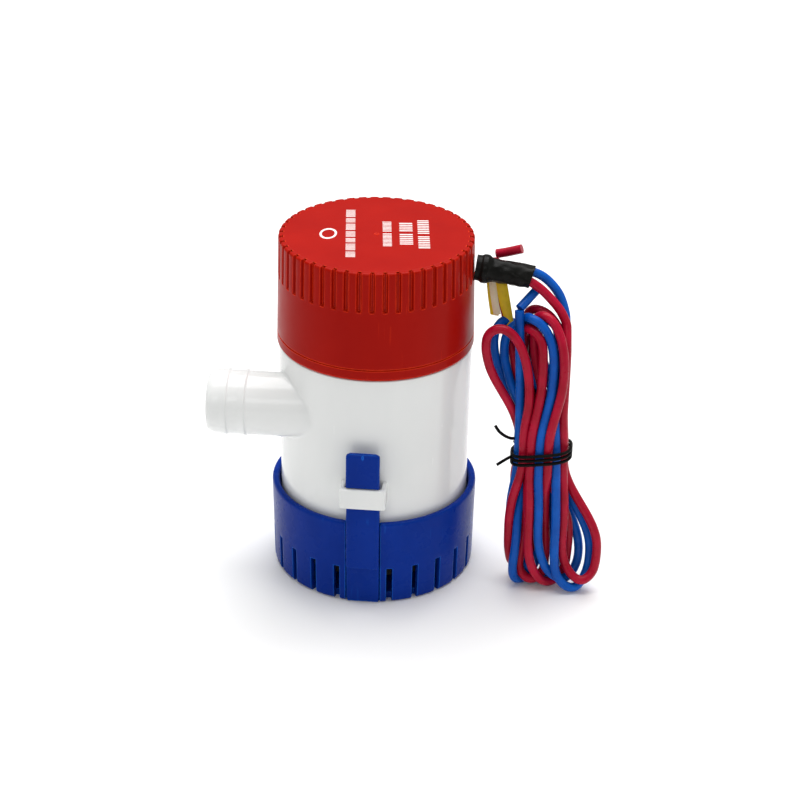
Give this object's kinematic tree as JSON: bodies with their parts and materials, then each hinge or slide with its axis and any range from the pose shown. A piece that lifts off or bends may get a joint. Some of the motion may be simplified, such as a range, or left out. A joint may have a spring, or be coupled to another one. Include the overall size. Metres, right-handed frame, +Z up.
{
  "type": "bilge pump",
  "caption": "Small submersible bilge pump with a side hose outlet, clip-on slotted strainer, ribbed motor cap and its two wires tied in a hank.",
  "frame": {"origin": "centre of the strainer's flat underside, on the surface the pump is screwed to", "axes": "+Z up along the motor shaft; the hose outlet points to -X, on the -Y side of the pump, and the cable leaves on +X; the two latches are on -Y and +Y"},
  "size_m": [0.1239, 0.0704, 0.112],
  "materials": {
    "strainer_blue": "satin moulded polypropylene",
    "housing_white": "glossy moulded ABS",
    "cap_red": "satin moulded ABS",
    "dark_plastic": "moulded nylon",
    "sleeve_black": "heat-shrunk polyolefin",
    "tie_black": "plastic-covered wire",
    "black_rubber": "moulded nitrile",
    "steel": "ground",
    "zinc_steel": "zinc plated",
    "sintered_bronze": "sintered",
    "brass": "stamped",
    "copper_wire": "enamelled copper",
    "ferrite": "ground ferrite",
    "carbon": "pressed carbon",
    "wire_red": "extruded PVC",
    "wire_blue": "extruded PVC",
    "hank_pvc": "extruded PVC, both wires",
    "tag_yellow": "coated paper"
  },
  "bodies": {
    "strainer": {"strainer_base": "strainer_blue"},
    "front_finger": {"latch_finger_front": "strainer_blue"},
    "rear_finger": {"latch_finger_rear": "strainer_blue"},
    "pump": {"pump_housing": "housing_white", "suction_plate": "housing_white", "motor_cap": "cap_red", "cap_seal_ring": "black_rubber", "shaft_seal": "black_rubber", "seal_retainer": "steel", "motor_can": "zinc_steel", "drive_end_bush": "sintered_bronze", "tail_end_bush": "sintered_bronze", "magnet_north": "ferrite", "magnet_south": "ferrite", "end_bell": "dark_plastic", "brush_positive": "carbon", "brush_negative": "carbon", "brush_spring_positive": "brass", "brush_spring_negative": "brass", "terminal_positive": "brass", "terminal_negative": "brass", "inner_lead_red": "wire_red", "inner_lead_blue": "wire_blue", "cable_grommet": "black_rubber", "cable_sleeve": "sleeve_black", "red_lead": "wire_red", "blue_lead": "wire_blue", "red_tail": "wire_red", "red_end_slug": "wire_red", "blue_end_slug": "wire_blue", "wire_hank": "hank_pvc", "twist_tie": "tie_black", "wire_tag": "tag_yellow"},
    "rotor": {"impeller": "dark_plastic", "motor_shaft": "steel", "armature_core": "steel", "armature_windings": "copper_wire", "commutator": "copper_wire"}
  },
  "joints": [
    {"name": "pump_lift", "type": "slide", "parent": "strainer", "child": "pump", "axis": [0, 0, 1], "range_m": [0, 0.05], "deforming": ["latch_finger_front", "latch_finger_rear"]},
    {"name": "front_finger_bend", "type": "hinge", "parent": "strainer", "child": "front_finger", "pos_m": [0, -0.031, 0.002], "axis": [-1, 0, 0], "range_deg": [0, 2], "stiffness_Nm_per_rad": 6},
    {"name": "rear_finger_bend", "type": "hinge", "parent": "strainer", "child": "rear_finger", "pos_m": [0, 0.031, 0.002], "axis": [1, 0, 0], "range_deg": [0, 2], "stiffness_Nm_per_rad": 6},
    {"name": "rotor_spin", "type": "hinge", "parent": "pump", "child": "rotor", "pos_m": [0, 0, 0.05], "axis": [0, 0, 1], "continuous": true}
  ]
}
